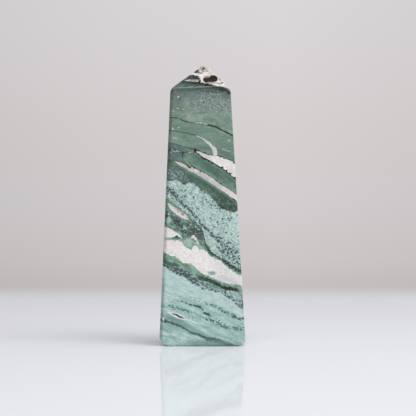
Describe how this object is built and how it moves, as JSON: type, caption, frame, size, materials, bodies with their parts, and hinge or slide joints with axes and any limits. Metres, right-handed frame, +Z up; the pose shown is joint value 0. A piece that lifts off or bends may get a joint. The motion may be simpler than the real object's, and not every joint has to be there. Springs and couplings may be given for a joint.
{
  "type": "green sardonyx tower",
  "caption": "Polished stone tower: a four-sided tapering shaft with a low pyramid cap, a bevelled flat foot and slanting green, white and black bands.",
  "frame": {"origin": "middle of the flat foot, on the surface that the tower stands on", "axes": "+Z up along the shaft to the tip, -Y out of the front face, +X to the right of someone who looks at the front"},
  "size_m": [0.031, 0.0311, 0.102],
  "materials": {
    "banded_stone": "polished"
  },
  "bodies": {
    "root": {"tower": "banded_stone"}
  },
  "joints": []
}
